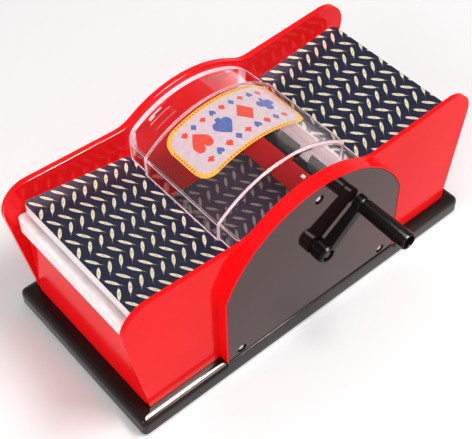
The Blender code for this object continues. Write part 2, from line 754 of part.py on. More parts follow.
# ---------------------------------------------------------------- gears, studs and bushings

def make_gear(name, gear, bore, color=NYLON):
    outline = gear_outline(gear.teeth, gear.phase, gear.x, gear.z)
    bm = prism(outline, -GEAR_FRONT, -GEAR_BACK)
    piece = add_piece(name, bm, color, 0.4, pivot=(gear.x, -GEAR_FRONT, gear.z))
    combine(piece, "DIFFERENCE", name + "_bore", rod(bore, -GEAR_FRONT - 1, -GEAR_BACK + 1, gear.x, gear.z))


def make_gears():
    make_gear("drive_gear", drive, SHAFT_RADIUS + GAP)
    for name, gear in idlers:
        make_gear(name, gear, STUD_RADIUS + RUNNING)
    make_gear("feed_gear_left", left_feed, FEED_SHAFT_RADIUS + GAP)
    make_gear("feed_gear_right", right_feed, FEED_SHAFT_RADIUS + GAP)


def make_studs():
    for name, gear in idlers:
        stud = rod(STUD_RADIUS, -GEAR_FRONT - 0.1, -WALL_INNER - 0.9, gear.x, gear.z)
        add_piece(name.replace("gear", "stud"), stud, STEEL, 0.3, 1.0)


def make_bush(name, bore, x, z, y_plain, y_flange):
    """A bush whose plain end is at y_plain and whose flange ends at y_flange."""
    step = 0.8 if y_flange > y_plain else -0.8
    profile = [
        (bore, y_plain),
        (BUSH_RADIUS, y_plain),
        (BUSH_RADIUS, y_flange - step),
        (BUSH_RADIUS + 1.2, y_flange - step),
        (BUSH_RADIUS + 1.2, y_flange),
        (bore, y_flange),
    ]
    add_piece(name, turned(profile, x, z), BRASS, 0.3, 1.0)


def make_bushings():
    make_bush("crank_bush", SHAFT_RADIUS + RUNNING, 0.0, CRANK_Z, -48.4, -44.9)
    for x, name in ((-FEED_X, "left"), (FEED_X, "right")):
        make_bush("front_bush_" + name, FEED_SHAFT_RADIUS + RUNNING, x, FEED_Z, -48.4, -44.9)
        make_bush("rear_bush_" + name, FEED_SHAFT_RADIUS + RUNNING, x, FEED_Z, 45.6, 40.4)


# ---------------------------------------------------------------- feed rollers

def make_feed(side_name, x):
    pivot = (x, 0.0, FEED_Z)
    shaft = rod(FEED_SHAFT_RADIUS, -GEAR_FRONT - 0.1, 45.4, x, FEED_Z)
    add_piece("feed_shaft_" + side_name, shaft, STEEL, 0.3, 1.0, pivot=pivot)
    core = tube(FEED_SHAFT_RADIUS + GAP, ROLLER_CORE, -21.0, 21.0, x, FEED_Z)
    add_piece("roller_core_" + side_name, core, NYLON, 0.4, pivot=pivot)
    for y_low, y_high, edge in ((-19.0, -5.0, "front"), (5.0, 19.0, "rear")):
        tyre = tube(ROLLER_CORE + GAP, ROLLER_RADIUS, y_low, y_high, x, FEED_Z)
        add_piece(f"feed_tyre_{side_name}_{edge}", tyre, RUBBER, 0.85, pivot=pivot)


# ---------------------------------------------------------------- shuffled cards

def make_shuffled_cards():
    """Cards that have fallen into the well, in a few loosely squared bundles."""
    bottom = WELL_FLOOR + GAP
    half = CARD_SHORT / 2
    for number, (thickness, shift) in enumerate(((3.6, -2.0), (3.2, 3.5), (2.4, -4.0), (2.0, 5.0)), start=1):
        top = bottom + thickness
        levels = [((shift - half, z), (shift + half, z)) for z in (bottom, top)]
        add_piece(f"shuffled_cards_{number}", card_stack(levels), NAVY, 0.35, pivot=(0.0, 0.0, WELL_FLOOR))
        bottom = top + GAP


# ---------------------------------------------------------------- start

make_base()
make_feet()
make_rear_wall()
make_front_wall()
make_tray("tray_left", -1)
make_tray("tray_right", 1)
make_well()
make_decks()
make_cover()
make_gear_cover()
make_gear_cover_screws()
make_crank_shaft()
make_crank_arm()
make_crank_screw()
make_knob()
make_gears()
make_studs()
make_bushings()
make_feed("left", -FEED_X)
make_feed("right", FEED_X)
make_shuffled_cards()
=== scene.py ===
"""Looks of the hand-cranked card shuffler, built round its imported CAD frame.

Sizes in this script are millimetres about the middle of the base, as in the CAD design: X runs
along the two trays, -Y is the crank side and Z is up. place() and MM take them to the frame.
"""
import math
import random

import bmesh
import bpy
from mathutils import Matrix, Vector


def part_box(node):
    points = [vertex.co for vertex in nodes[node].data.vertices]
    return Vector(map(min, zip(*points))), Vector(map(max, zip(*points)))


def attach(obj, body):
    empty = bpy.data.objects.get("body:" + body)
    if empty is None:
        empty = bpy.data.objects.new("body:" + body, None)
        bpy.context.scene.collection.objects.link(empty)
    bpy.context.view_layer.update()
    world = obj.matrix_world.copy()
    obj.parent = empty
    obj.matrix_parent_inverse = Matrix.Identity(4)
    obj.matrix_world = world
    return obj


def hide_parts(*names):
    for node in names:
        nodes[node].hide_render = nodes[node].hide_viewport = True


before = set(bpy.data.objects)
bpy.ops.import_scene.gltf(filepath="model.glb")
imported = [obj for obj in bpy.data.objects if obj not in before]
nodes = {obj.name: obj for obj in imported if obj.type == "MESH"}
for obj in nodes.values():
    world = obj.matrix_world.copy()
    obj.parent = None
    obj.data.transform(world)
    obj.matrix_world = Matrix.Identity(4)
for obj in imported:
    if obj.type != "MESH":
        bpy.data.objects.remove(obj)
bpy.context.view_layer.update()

MM = 0.001
base_low, base_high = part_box("base_frame")
BASE_Y = (base_low.y + base_high.y) / 2 / MM       # the base's middle in the frame
CARD_LONG = 88.9
CARD_SHORT = 63.5
CARD_CORNER = 3.2
FLOOR_ANGLE = math.radians(8.0)
GAP = 0.3


def place(x, y, z):
    return Vector((x * MM, (y + BASE_Y) * MM, z * MM))


# ---------------------------------------------------------------- material nodes

class Tree:
    """A short way to write a material's node tree."""

    def __init__(self, name):
        self.material = bpy.data.materials.new(name)
        self.material.use_nodes = True
        self.tree = self.material.node_tree
        self.shader = self.tree.nodes["Principled BSDF"]

    def node(self, kind, inputs=None, **settings):
        node = self.tree.nodes.new(kind)
        for key, value in settings.items():
            setattr(node, key, value)
        for key, value in (inputs or {}).items():
            self.feed(node.inputs[key], value)
        return node

    def feed(self, socket, value):
        if isinstance(value, bpy.types.NodeSocket):
            self.tree.links.new(value, socket)
        else:
            socket.default_value = value

    def set(self, **inputs):
        for key, value in inputs.items():
            self.feed(self.shader.inputs[key.replace("_", " ")], value)

    def math(self, operation, first, second=0.0, third=0.0):
        node = self.node("ShaderNodeMath", {0: first, 1: second, 2: third}, operation=operation)
        return node.outputs[0]

    def position(self):
        """The surface point in the frame's metres."""
        return self.node("ShaderNodeTexCoord").outputs["Object"]

    def noise(self, vector, scale, detail=3.0, roughness=0.5):
        inputs = {"Vector": vector, "Scale": scale, "Detail": detail, "Roughness": roughness}
        return self.node("ShaderNodeTexNoise", inputs).outputs["Fac"]

    def ramp(self, value, low, high, out_low, out_high):
        inputs = {"Value": value, "From Min": low, "From Max": high, "To Min": out_low, "To Max": out_high}
        return self.node("ShaderNodeMapRange", inputs).outputs["Result"]

    def smooth_step(self, value, low, high):
        inputs = {"Value": value, "From Min": low, "From Max": high}
        return self.node("ShaderNodeMapRange", inputs, interpolation_type="SMOOTHSTEP").outputs["Result"]

    def mix(self, factor, first, second):
        node = self.node("ShaderNodeMix", data_type="RGBA")
        self.feed(node.inputs[0], factor)
        for socket, value in ((node.inputs[6], first), (node.inputs[7], second)):
            self.feed(socket, value)
        return node.outputs[2]

    def bump(self, height, distance, strength=1.0):
        inputs = {"Height": height, "Distance": distance, "Strength": strength}
        return self.node("ShaderNodeBump", inputs).outputs["Normal"]


def rgb(red, green, blue):
    return (red, green, blue, 1.0)


def moulded_plastic(name, color, dark, roughness, gloss, tint=(1.0, 1.0, 1.0, 1.0)):
    """Glossy moulded plastic: faint colour drift, handling smudges and a slight orange peel."""
    t = Tree(name)
    where = t.position()
    drift = t.noise(where, 18.0, 2.0)
    tone = t.mix(t.ramp(drift, 0.35, 0.65, 0.0, 1.0), dark, color)
    smudge = t.noise(where, 55.0, 4.0, 0.6)
    fine = t.noise(where, 900.0, 2.0)
    smudged = t.ramp(smudge, 0.4, 0.7, roughness, roughness + 0.06)
    rough = t.math("ADD", smudged, t.math("MULTIPLY", fine, 0.02))
    t.set(Base_Color=tone, Roughness=rough, Normal=t.bump(t.noise(where, 260.0, 2.0), 0.00002, 0.5))
    t.shader.inputs["IOR"].default_value = 1.52
    t.shader.inputs["Specular IOR Level"].default_value = gloss
    t.shader.inputs["Specular Tint"].default_value = tint
    return t.material


def metal(name, color, dark, roughness, stretch):
    """Bright metal with fine drawn or turned lines along one axis."""
    t = Tree(name)
    lines = t.node("ShaderNodeMapping", {"Vector": t.position(), "Scale": stretch}).outputs[0]
    grain = t.noise(lines, 900.0, 3.0)
    t.set(Base_Color=t.mix(grain, dark, color), Normal=t.bump(grain, 0.00002, 0.4))
    t.set(Roughness=t.ramp(grain, 0.3, 0.7, roughness, roughness + 0.15))
    t.shader.inputs["Metallic"].default_value = 1.0
    return t.material


def rubber(name, color):
    t = Tree(name)
    where = t.position()
    grit = t.noise(where, 1400.0, 4.0)
    dust = t.noise(where, 130.0, 3.0)
    tone = t.mix(t.ramp(dust, 0.45, 0.8, 0.0, 0.5), color, rgb(0.12, 0.115, 0.11))
    t.set(Base_Color=tone, Roughness=t.ramp(grit, 0.3, 0.7, 0.62, 0.85), Normal=t.bump(grit, 0.0001, 0.5))
    return t.material


def nylon(name):
    t = Tree(name)
    where = t.position()
    cloud = t.noise(where, 160.0, 3.0)
    t.set(Base_Color=t.mix(cloud, rgb(0.70, 0.68, 0.61), rgb(0.86, 0.85, 0.80)))
    t.set(Roughness=t.ramp(cloud, 0.3, 0.7, 0.35, 0.5), Normal=t.bump(cloud, 0.00005, 0.3))
    t.shader.inputs["Subsurface Weight"].default_value = 0.1
    t.shader.inputs["Subsurface Scale"].default_value = 0.002
    return t.material


RED_TONES = (rgb(0.84, 0.006, 0.009), rgb(0.77, 0.004, 0.006))
BLACK_TONES = (rgb(0.011, 0.007, 0.006), rgb(0.007, 0.005, 0.004))
CRANK_TONES = (rgb(0.008, 0.006, 0.006), rgb(0.006, 0.004, 0.004))
PANEL_TONES = (rgb(0.016, 0.008, 0.008), rgb(0.012, 0.006, 0.006))
DRAWN_ALONG_Y = (1.0, 0.05, 1.0)

RED = moulded_plastic("red_plastic", *RED_TONES, roughness=0.10, gloss=0.08)
# The rear wall's reds are the same, but its long rim shows more gloss in the photo.
BRIGHT_RED = moulded_plastic("red_plastic_bright", *RED_TONES, roughness=0.08, gloss=0.14)
BLACK = moulded_plastic("black_plastic", *BLACK_TONES, roughness=0.12, gloss=0.24, tint=rgb(1.0, 0.80, 0.76))
CRANK = moulded_plastic("crank_plastic", *CRANK_TONES, roughness=0.12, gloss=0.11)
PANEL = moulded_plastic("panel_plastic", *PANEL_TONES, roughness=0.04, gloss=0.55, tint=rgb(1.0, 0.42, 0.42))
# Near-black steel for the crank screw: painted shade for its deep recess in the hub.
SHADED_SCREW_STEEL = metal("screw_steel_painted_shade", rgb(0.06, 0.06, 0.062), rgb(0.03, 0.03, 0.031), 0.3, DRAWN_ALONG_Y)
STEEL = metal("bright_steel", rgb(0.72, 0.72, 0.74), rgb(0.50, 0.50, 0.52), 0.18, DRAWN_ALONG_Y)
BRASS = metal("turned_brass", rgb(0.80, 0.60, 0.26), rgb(0.62, 0.44, 0.17), 0.2, DRAWN_ALONG_Y)
NYLON = nylon("natural_nylon")
RUBBER = rubber("black_rubber", rgb(0.028, 0.027, 0.027))


# ---------------------------------------------------------------- card materials

FEATHER_STEP_U = 6.75          # spacing of the printed feathers across a card
FEATHER_STEP_V = 15.55         # and along it, for the feathers that lean one way
FEATHER_SLANT = 0.10           # rise of each row of feathers across a card
FEATHER_LENGTH = 8.8
FEATHER_WIDTH = 1.8
FEATHER_OUTLINE = (            # half width against place along a feather: a leaf with a thin stalk
    (0.0, 0.0), (0.05, 0.42), (0.2, 0.86), (0.42, 1.0), (0.62, 0.82),
    (0.78, 0.36), (0.84, 0.13), (0.98, 0.08), (1.0, 0.0),
)
FIRST_FEATHER = (-0.2, 10.5, math.radians(-53.5))          # a feather's middle on the card, and its lean
SECOND_FEATHER = (-2.75, 3.3, math.radians(-123.7))
LINEN_PITCH = 16.0             # ripples of the linen-pressed coat, in radians per millimetre


def feather_lattice(t, u, v, centre_u, centre_v, lean):
    """Feathers of one lean: (how much of a feather is here, place along it, place across it)."""
    level_v = t.math("SUBTRACT", v, t.math("MULTIPLY", u, FEATHER_SLANT))
    wrapped_u = t.math("WRAP", t.math("SUBTRACT", u, centre_u), FEATHER_STEP_U / 2, -FEATHER_STEP_U / 2)
    level_v = t.math("WRAP", t.math("SUBTRACT", level_v, centre_v), FEATHER_STEP_V / 2, -FEATHER_STEP_V / 2)
    wrapped_v = t.math("ADD", level_v, t.math("MULTIPLY", wrapped_u, FEATHER_SLANT))
    cos, sin = math.cos(lean), math.sin(lean)
    along = t.math("ADD", t.math("MULTIPLY", wrapped_u, cos), t.math("MULTIPLY", wrapped_v, sin))
    across = t.math("SUBTRACT", t.math("MULTIPLY", wrapped_v, cos), t.math("MULTIPLY", wrapped_u, sin))
    share = t.ramp(along, -FEATHER_LENGTH / 2, FEATHER_LENGTH / 2, 0.0, 1.0)
    outline = t.node("ShaderNodeFloatCurve", {"Value": share})
    curve = outline.mapping.curves[0]
    for place_on, height in FEATHER_OUTLINE[1:-1]:
        curve.points.new(place_on, height)
    curve.points[0].location = FEATHER_OUTLINE[0]
    curve.points[-1].location = FEATHER_OUTLINE[-1]
    outline.mapping.update()
    half_width = t.math("MULTIPLY", outline.outputs[0], FEATHER_WIDTH / 2)
    inside = t.math("SUBTRACT", half_width, t.math("ABSOLUTE", across))
    return t.smooth_step(inside, -0.08, 0.12), share, across


def card_back(name, light, dark):
    """Card back: a navy ground with cream feathers in a herringbone, and a linen-pressed coat."""
    t = Tree(name)
    uv = t.node("ShaderNodeUVMap", uv_map="card_mm").outputs[0]
    split = t.node("ShaderNodeSeparateXYZ", {0: uv})
    u, v = split.outputs[0], split.outputs[1]
    first = feather_lattice(t, u, v, *FIRST_FEATHER)
    second = feather_lattice(t, u, v, *SECOND_FEATHER)
    cover = t.math("MAXIMUM", first[0], second[0])
    patch = t.noise(uv, 0.9, 4.0, 0.7)
    cream = t.mix(t.ramp(patch, 0.35, 0.65, 0.0, 1.0), dark, light)
    spots = []
    for inside, share, across in (first, second):
        from_spot = t.math("ABSOLUTE", t.math("SUBTRACT", share, 0.40))
        spot_along = t.math("SUBTRACT", 1.0, t.smooth_step(from_spot, 0.03, 0.20))
        spot_across = t.math("SUBTRACT", 1.0, t.smooth_step(t.math("ABSOLUTE", across), 0.08, 0.30))
        spots.append(t.math("MULTIPLY", t.math("MULTIPLY", spot_along, spot_across), inside))
    spot = t.math("MULTIPLY", t.math("MAXIMUM", spots[0], spots[1]), 0.65)
    print_color = t.mix(spot, cream, rgb(0.23, 0.17, 0.09))
    drift = t.ramp(t.noise(uv, 0.35, 3.0), 0.3, 0.7, 0.0, 1.0)
    ground = t.mix(drift, rgb(0.006, 0.007, 0.022), rgb(0.012, 0.014, 0.042))
    t.set(Base_Color=t.mix(cover, ground, print_color), Roughness=t.ramp(patch, 0.3, 0.7, 0.30, 0.42))
    ripple_u, ripple_v = (t.math("SINE", t.math("MULTIPLY", way, LINEN_PITCH)) for way in (u, v))
    t.set(Normal=t.bump(t.math("ADD", ripple_u, ripple_v), 0.000008, 0.25))
    t.shader.inputs["Specular IOR Level"].default_value = 0.35
    return t.material


def card_paper(name):
    """Cut paper edges, slightly pink-white and uneven from card to card."""
    t = Tree(name)
    where = t.position()
    flat = t.node("ShaderNodeMapping", {"Vector": where, "Scale": (0.35, 0.35, 6.0)}).outputs[0]
    layers = t.noise(flat, 260.0, 3.0, 0.7)
    tone = t.ramp(layers, 0.35, 0.65, 0.0, 1.0)
    t.set(Base_Color=t.mix(tone, rgb(0.80, 0.70, 0.71), rgb(0.97, 0.91, 0.91)))
    t.set(Roughness=t.ramp(layers, 0.3, 0.7, 0.5, 0.7), Normal=t.bump(layers, 0.00004, 0.5))
    return t.material


CARD_BACK = card_back("card_back", rgb(0.90, 0.85, 0.68), rgb(0.52, 0.46, 0.33))
# The loose cards get a much darker copy of the card print: painted shade for the deep well.
LOOSE_BACK_SHADED = card_back("loose_card_back_painted_shade", rgb(0.22, 0.235, 0.20), rgb(0.11, 0.12, 0.10))
CARD_PAPER = card_paper("card_paper")


# ---------------------------------------------------------------- clear plastic

def clear_plastic(name):
    """Clear polished plastic, barely tinted, with faint moulding waves."""
    t = Tree(name)
    where = t.position()
    wave = t.noise(where, 28.0, 2.0)
    haze = t.noise(where, 70.0, 3.0)
    t.set(Base_Color=t.mix(haze, rgb(0.99, 0.93, 0.95), rgb(0.97, 0.91, 0.93)))
    t.set(Roughness=t.ramp(haze, 0.45, 0.75, 0.0, 0.03), Normal=t.bump(wave, 0.0002, 0.2))
    t.shader.inputs["Transmission Weight"].default_value = 1.0
    t.shader.inputs["IOR"].default_value = 1.30
    return t.material


def pale_edge_highlight(name):
    """Pale pink, partly clear colour for the clear plastic's moulded edges: a painted highlight where they
    gather light.
    """
    t = Tree(name)
    where = t.position()
    cloud = t.noise(where, 120.0, 3.0)
    t.set(Base_Color=t.mix(cloud, rgb(0.86, 0.58, 0.64), rgb(0.97, 0.84, 0.87)))
    t.set(Roughness=t.ramp(cloud, 0.3, 0.7, 0.12, 0.3))
    t.shader.inputs["Transmission Weight"].default_value = 0.25
    t.shader.inputs["IOR"].default_value = 1.45
    return t.material


CLEAR = clear_plastic("clear_plastic")
# The pale edge material is a painted highlight on the cover's edges, steps, shoulders, rim and tabs.
CLEAR_EDGE_HIGHLIGHT = pale_edge_highlight("clear_edge_painted_highlight")


# ---------------------------------------------------------------- pieces

SHARPEST_SMOOTH = math.radians(32.0)       # edges that turn further than this get rounded
FLAT_ANGLE = math.radians(0.5)             # triangles closer than this lie in one flat
WELD_GAP = 0.000002                        # corners closer than this, in metres, become one


def new_piece(name, bm, materials, body, smooth_angle=35.0):
    """Make an object from a mesh in millimetres about the base's middle and let it ride on a body."""
    for vert in bm.verts:
        vert.co = place(*vert.co)
    mesh = bpy.data.meshes.new(name)
    bm.to_mesh(mesh)
    bm.free()
    for material in materials:
        mesh.materials.append(material)
    mesh.shade_smooth()
    mesh.set_sharp_from_angle(angle=math.radians(smooth_angle))
    piece = bpy.data.objects.new(name, mesh)
    bpy.context.scene.collection.objects.link(piece)
    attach(piece, body)
    return piece


def finish_cad(name, material, bevel=0.0, segments=3, merge_flats=False):
    """Give a CAD node its material and, where asked, small rounded edges.

    Wide rounding needs whole flat faces, so merge_flats joins each flat's triangles first.
    """
    piece = nodes[name]
    piece.data.materials.clear()
    piece.data.materials.append(material)
    if bevel:
        weld = piece.modifiers.new("weld", "WELD")
        weld.merge_threshold = WELD_GAP
        if merge_flats:
            flats = piece.modifiers.new("whole_flats", "DECIMATE")
            flats.decimate_type = "DISSOLVE"
            flats.angle_limit = FLAT_ANGLE
        rounding = piece.modifiers.new("rounded_edges", "BEVEL")
        rounding.width = bevel * MM
        rounding.segments = segments
        rounding.limit_method = "ANGLE"
        rounding.angle_limit = SHARPEST_SMOOTH
        piece.modifiers.new("even_normals", "WEIGHTED_NORMAL")


finish_cad("rear_wall", BRIGHT_RED, 1.2, segments=5, merge_flats=True)
finish_cad("front_wall", RED, 0.5)
for side in ("left", "right"):
    finish_cad("tray_" + side, RED, 0.5)
    finish_cad("feed_shaft_" + side, STEEL)
    finish_cad("feed_gear_" + side, NYLON)
    finish_cad("roller_core_" + side, NYLON)
    finish_cad("front_bush_" + side, BRASS)
    finish_cad("rear_bush_" + side, BRASS)
    for end in ("front", "rear"):
        finish_cad(f"feed_tyre_{side}_{end}", RUBBER, 0.3)
        finish_cad(f"rubber_foot_{end}_{side}", RUBBER, 0.3)
finish_cad("card_well", RED, 0.3)
finish_cad("gear_cover", PANEL, 0.25)
for spot in ("left", "right", "top"):
    finish_cad("gear_cover_screw_" + spot, STEEL)
finish_cad("crank_arm", CRANK, 0.4)
finish_cad("crank_knob", CRANK, 0.2)
finish_cad("crank_shaft", STEEL)
# The screw's dark steel is painted shade of the hub's recess.
finish_cad("crank_screw", SHADED_SCREW_STEEL)
finish_cad("knob_pin", STEEL)
finish_cad("crank_bush", BRASS)
finish_cad("drive_gear", NYLON)
finish_cad("left_idler_gear", NYLON)
for spot in ("inner", "outer"):
    finish_cad("right_idler_gear_" + spot, NYLON)
    finish_cad("right_idler_stud_" + spot, STEEL)
finish_cad("left_idler_stud", STEEL)


# ---------------------------------------------------------------- base frame

BASE_ROUND = 4.0
BASE_CORNER = 3.0
BASE_CHAMFER = 0.6             # round the underside
LEAST_CORNER = 0.8             # of the ledge where its rounding has narrowed it
BASE_FLOOR = 5.2
POCKET_X = 98.0
POCKET_Y = 45.2
POCKET_EDGE = 0.4              # chamfer round the pocket's mouth
POCKET_CORNER = 1.0
MOUTH_CORNER = 1.2
PAD_EDGE = 0.45                # rounding of the pad under the gear housing
PAD_OVERHANG = 1.1             # how far the pad reaches past the gear cover at each end
PAD_BEHIND = 0.6               # how far its back lies outside the pocket


def rounded_loop(bm, half_x, half_y, radius, z, steps=8):
    """Vertices of a level rounded rectangle."""
    loop = []
    for sign_x, sign_y, start in ((1, 1, 0.0), (-1, 1, 90.0), (-1, -1, 180.0), (1, -1, 270.0)):
        for step in range(steps + 1):
            angle = math.radians(start + 90.0 * step / steps)
            x = sign_x * (half_x - radius) + radius * math.cos(angle)
            y = sign_y * (half_y - radius) + radius * math.sin(angle)
            loop.append(bm.verts.new((x, y, z)))
    return loop


def join_loops(bm, first, second):
    count = len(first)
    for step in range(count):
        after = (step + 1) % count
        bm.faces.new((first[step], first[after], second[after], second[step]))


def raised_pad(bm, half_x, front, back, low, high, edge):
    """A pad standing on the ledge, rounded along its top and its two front corners."""
    outlines = []
    steps = 4
    for step in range(steps + 1):
        angle = math.pi / 2 * step / steps
        inset = edge * (1 - math.cos(angle))
        z = high - edge + edge * math.sin(angle)
        left, right, near = -half_x + inset, half_x - inset, front + inset
        outlines.append((((left, back), (left, near), (right, near), (right, back)), z))
    rings = [[bm.verts.new((x, y, low)) for x, y in outlines[0][0]]]
    for outline, z in outlines:
        rings.append([bm.verts.new((x, y, z)) for x, y in outline])
    for first, second in zip(rings, rings[1:]):
        join_loops(bm, first, second)
    bm.faces.new(rings[-1])
    bm.faces.new(list(reversed(rings[0])))


def make_base():
    """Base with a shallow pocket, a broad rounded ledge and a raised pad under the gear housing."""
    half_x = base_high.x / MM
    half_y = (base_high.y - base_low.y) / 2 / MM
    bottom = base_low.z / MM
    top = base_high.z / MM
    bm = bmesh.new()
    narrow_x, narrow_y = half_x - BASE_CHAMFER, half_y - BASE_CHAMFER
    loops = [rounded_loop(bm, narrow_x, narrow_y, BASE_CORNER - BASE_CHAMFER, bottom)]
    loops.append(rounded_loop(bm, half_x, half_y, BASE_CORNER, bottom + BASE_CHAMFER))
    arc_steps = 10
    for step in range(arc_steps + 1):
        angle = math.pi / 2 * step / arc_steps
        inset = BASE_ROUND * (1 - math.cos(angle))
        rise = BASE_ROUND * math.sin(angle)
        corner = max(BASE_CORNER - inset, LEAST_CORNER)
        loops.append(rounded_loop(bm, half_x - inset, half_y - inset, corner, top - BASE_ROUND + rise))
    loops.append(rounded_loop(bm, POCKET_X + POCKET_EDGE, POCKET_Y + POCKET_EDGE, MOUTH_CORNER, top))
    loops.append(rounded_loop(bm, POCKET_X, POCKET_Y, POCKET_CORNER, top - POCKET_EDGE))
    loops.append(rounded_loop(bm, POCKET_X, POCKET_Y, POCKET_CORNER, BASE_FLOOR))
    bm.faces.new(list(reversed(loops[0])))
    bm.faces.new(loops[-1])
    for first, second in zip(loops, loops[1:]):
        join_loops(bm, first, second)
    pad_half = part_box("gear_cover")[1].x / MM + PAD_OVERHANG
    raised_pad(bm, pad_half, -half_y, -POCKET_Y - PAD_BEHIND, top - BASE_ROUND, top, PAD_EDGE)
    bmesh.ops.recalc_face_normals(bm, faces=bm.faces)
    base = new_piece("base_shell", bm, (BLACK,), "case", 40.0)
    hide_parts("base_frame")


make_base()


# ---------------------------------------------------------------- cards

DECK_CARDS = 52
CARD_FILL = 0.90               # part of its height in the stack that a card fills; the rest is the gap
SEAM_RISE = 0.1                # gap between a deck's two packets
DECK_SLIP = (-0.10, 0.10)      # how far single cards lie out of line across a deck
DECK_STAGGER = (-0.15, 0.15)   # and along it


def card_outline(corner_steps=4):
    """One card's rounded outline in (u, v), u along its short side."""
    points = []
    half_u = CARD_SHORT / 2 - CARD_CORNER
    half_v = CARD_LONG / 2 - CARD_CORNER
    for sign_u, sign_v, start in ((1, 1, 0.0), (-1, 1, 90.0), (-1, -1, 180.0), (1, -1, 270.0)):
        for step in range(corner_steps + 1):
            angle = math.radians(start + step * 90.0 / corner_steps)
            u = sign_u * half_u + CARD_CORNER * math.cos(angle)
            v = sign_v * half_v + CARD_CORNER * math.sin(angle)
            points.append((u, v))
    return points


def add_card(bm, uv_layer, matrix, thickness, printed, phase=(0.0, 0.0)):
    """One card: its print or plain paper on top, paper on its edges and underside.

    phase shifts the print on the card, in millimetres.
    """
    outline = card_outline()
    low = [bm.verts.new(matrix @ Vector((u, v, 0.0))) for u, v in outline]
    high = [bm.verts.new(matrix @ Vector((u, v, thickness))) for u, v in outline]
    top = bm.faces.new(high)
    top.material_index = 0 if printed else 1
    for loop, (u, v) in zip(top.loops, outline):
        loop[uv_layer].uv = (u + phase[0], v + phase[1])
    bm.faces.new(list(reversed(low))).material_index = 1
    count = len(outline)
    for step in range(count):
        after = (step + 1) % count
        bm.faces.new((low[step], low[after], high[after], high[step])).material_index = 1


def card_pose(outer, inner, y):
    """Matrix of a card whose outer and inner edges pass through two (x, z) points."""
    outer = Vector(outer)
    inner = Vector(inner)
    middle = (outer + inner) / 2
    run = inner - outer if inner.x >= outer.x else outer - inner
    tilt = math.atan2(run.y, run.x)
    return Matrix.Translation((middle.x, y, middle.y)) @ Matrix.Rotation(-tilt, 4, "Y")


def lerp(first, second, share):
    return tuple(a + (b - a) * share for a, b in zip(first, second))


def make_deck(side, levels, middle_y, seed):
    """A deck of single cards in two squared packets, given by (outer, inner) edge points."""
    node = f"card_deck_{side}"
    rng = random.Random(seed)
    bm = bmesh.new()
    uv_layer = bm.loops.layers.uv.new("card_mm")
    bottom, seam_low, seam_high, top = levels
    height = top[0][1] - bottom[0][1]
    seam = (seam_low[0][1] - bottom[0][1]) / height
    thickness = height / DECK_CARDS * CARD_FILL
    for number in range(DECK_CARDS):
        share = number / DECK_CARDS
        if share < seam:
            outer, inner = (lerp(bottom[end], seam_low[end], share / seam) for end in (0, 1))
        else:
            outer, inner = (lerp(seam_high[end], top[end], (share - seam) / (1 - seam)) for end in (0, 1))
        last = number == DECK_CARDS - 1
        slip = 0.0 if last else rng.uniform(*DECK_SLIP)
        y = middle_y + (0.0 if last else rng.uniform(*DECK_STAGGER))
        matrix = card_pose((outer[0] + slip, outer[1]), (inner[0] + slip, inner[1]), y)
        add_card(bm, uv_layer, matrix, thickness, last)
    deck = new_piece(f"deck_{side}_cards", bm, (CARD_BACK, CARD_PAPER), f"{side}_deck", 30.0)
    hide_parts(node)


def tray_floor(x):
    """Height of a tray's sloped floor at a distance x from the middle."""
    low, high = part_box("tray_left")
    inner = high.x / MM
    slope = math.tan(FLOOR_ANGLE)
    return (high.z / MM - slope * (-low.x / MM + inner)) + slope * (abs(x) + inner)


def deck_levels(side, outer_top, outer_bottom, top_rise, inner_rise, upper_part):
    """Edge points of a deck's bottom, of both sides of the seam between its packets, and of its top.

    The outer edges lie at outer_bottom and outer_top in X, the top card's edges at the heights top_rise
    and inner_rise, and the upper packet holds upper_part of the deck.
    """
    inner_bottom = outer_bottom - CARD_SHORT * math.cos(FLOOR_ANGLE)
    inner_top = outer_top - math.sqrt(CARD_SHORT ** 2 - (top_rise - inner_rise) ** 2)
    low = (tray_floor(outer_bottom) + GAP, tray_floor(inner_bottom) + GAP)
    high = (top_rise, inner_rise)
    seam = [bottom + (top - bottom) * (1 - upper_part) for bottom, top in zip(low, high)]
    levels = (
        ((outer_bottom, low[0]), (inner_bottom, low[1])),
        ((outer_bottom, seam[0]), (inner_bottom, seam[1])),
        ((outer_top, seam[0] + SEAM_RISE), (inner_top, seam[1] + SEAM_RISE)),
        ((outer_top, high[0]), (inner_top, high[1])),
    )
    return [tuple((side * x, z) for x, z in level) for level in levels]


LEFT_LEVELS = deck_levels(
    -1, outer_top=101.0, outer_bottom=106.2, top_rise=80.6, inner_rise=69.5, upper_part=0.46,
)
RIGHT_LEVELS = deck_levels(
    1, outer_top=103.4, outer_bottom=104.5, top_rise=77.6, inner_rise=70.4, upper_part=0.40,
)
LEFT_DECK_Y = 1.2              # the left deck lies a little towards the rear wall
make_deck("left", LEFT_LEVELS, LEFT_DECK_Y, seed=3)
make_deck("right", RIGHT_LEVELS, 0.0, seed=5)

BUNDLE_CARD = 0.29             # height that one card takes up in a loose bundle
BUNDLE_SHIFT = {1: -2.0, 2: 3.5, 3: -4.0, 4: 5.0}          # of each bundle, along X
LOOSE_PRINT = (2.0, 3.0)       # where the print starts on the loose cards
LOOSE_SLIP = (-1.2, 0.1)       # how far out a loose card lies in X past its bundle's shift
LOOSE_STAGGER = (-0.3, 0.3)
LOOSE_TURN = (-0.15, 0.15)     # in degrees


